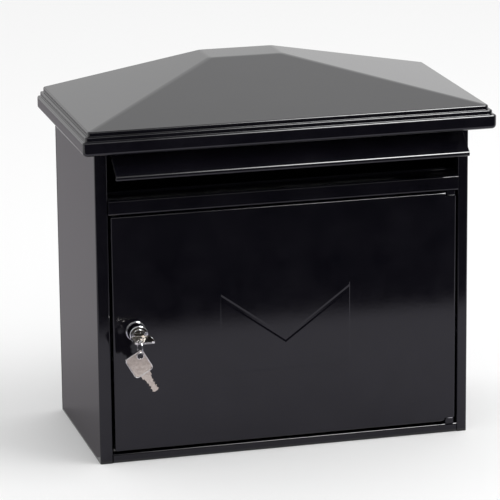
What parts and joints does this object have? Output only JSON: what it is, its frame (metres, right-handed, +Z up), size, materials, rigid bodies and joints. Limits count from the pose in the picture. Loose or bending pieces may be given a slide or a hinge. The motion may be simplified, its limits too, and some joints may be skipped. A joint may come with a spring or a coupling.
{
  "type": "wall mounted mailbox",
  "caption": "Wall mounted steel mailbox with a hipped rain roof, a swinging letter flap over a wide slot, and a hinged front door with a cam lock, a key in it and a spare key.",
  "frame": {"origin": "centre of the four wall holes, on the back face that lies against the wall", "axes": "+X to the right of a person facing the box, +Y into the wall, +Z up"},
  "size_m": [0.3934, 0.2246, 0.3525],
  "materials": {
    "black_paint": "gloss black powder coat on steel sheet",
    "zinc_steel": "zinc plated steel",
    "chrome": "bright chrome plate",
    "brass": "plain stamped brass",
    "key_nickel": "satin nickel plate with coined edges"
  },
  "bodies": {
    "body": {"back_panel": "black_paint", "side_panel_left": "black_paint", "side_panel_right": "black_paint", "floor_tray": "black_paint", "roof_cap": "black_paint", "roof_bracket_left": "black_paint", "roof_bracket_right": "black_paint", "roof_screws": "zinc_steel", "roof_nuts": "zinc_steel", "slot_rail": "black_paint", "rail_rivets": "zinc_steel", "strike_plate": "black_paint", "upper_hinge_block": "black_paint", "lower_hinge_block": "black_paint", "upper_hinge_pin": "zinc_steel", "lower_hinge_pin": "zinc_steel", "hinge_washers": "zinc_steel", "flap_lug_left": "black_paint", "flap_lug_right": "black_paint", "flap_rod": "zinc_steel", "flap_rod_clips": "zinc_steel"},
    "letter_flap": {"letter_flap": "black_paint"},
    "door": {"door_panel": "black_paint", "door_hinge_plate_upper": "black_paint", "door_hinge_plate_lower": "black_paint", "lock_housing": "chrome", "lock_washer": "zinc_steel", "lock_nut": "zinc_steel"},
    "lock_plug": {"lock_plug": "chrome", "lock_wafers": "brass", "lock_cam": "zinc_steel", "cam_washer": "zinc_steel", "cam_screw": "zinc_steel"},
    "key": {"key": "key_nickel"},
    "key_ring": {"key_ring": "chrome"},
    "spare_key": {"spare_key": "key_nickel"}
  },
  "joints": [
    {"name": "door_swing", "type": "hinge", "parent": "body", "child": "door", "pos_m": [0.1635, -0.1731, 0], "axis": [0, 0, 1], "range_deg": [0, 105]},
    {"name": "flap_swing", "type": "hinge", "parent": "body", "child": "letter_flap", "pos_m": [0, -0.1612, 0.1856], "axis": [1, 0, 0], "range_deg": [-10, 54]},
    {"name": "lock_turn", "type": "hinge", "parent": "door", "child": "lock_plug", "pos_m": [-0.1443, -0.176, -0.0022], "axis": [0, 1, 0], "range_deg": [0, 90]},
    {"name": "key_draw", "type": "slide", "parent": "lock_plug", "child": "key", "axis": [0, -1, 0], "range_m": [0, 0.02]},
    {"name": "ring_swing", "type": "hinge", "parent": "key", "child": "key_ring", "pos_m": [-0.1498, -0.2181, -0.001], "axis": [0, 1, 0], "range_deg": [-25, 5]},
    {"name": "spare_key_swing", "type": "hinge", "parent": "key_ring", "child": "spare_key", "pos_m": [-0.1498, -0.2181, -0.01185], "axis": [0, 1, 0], "range_deg": [-40, 40]}
  ]
}
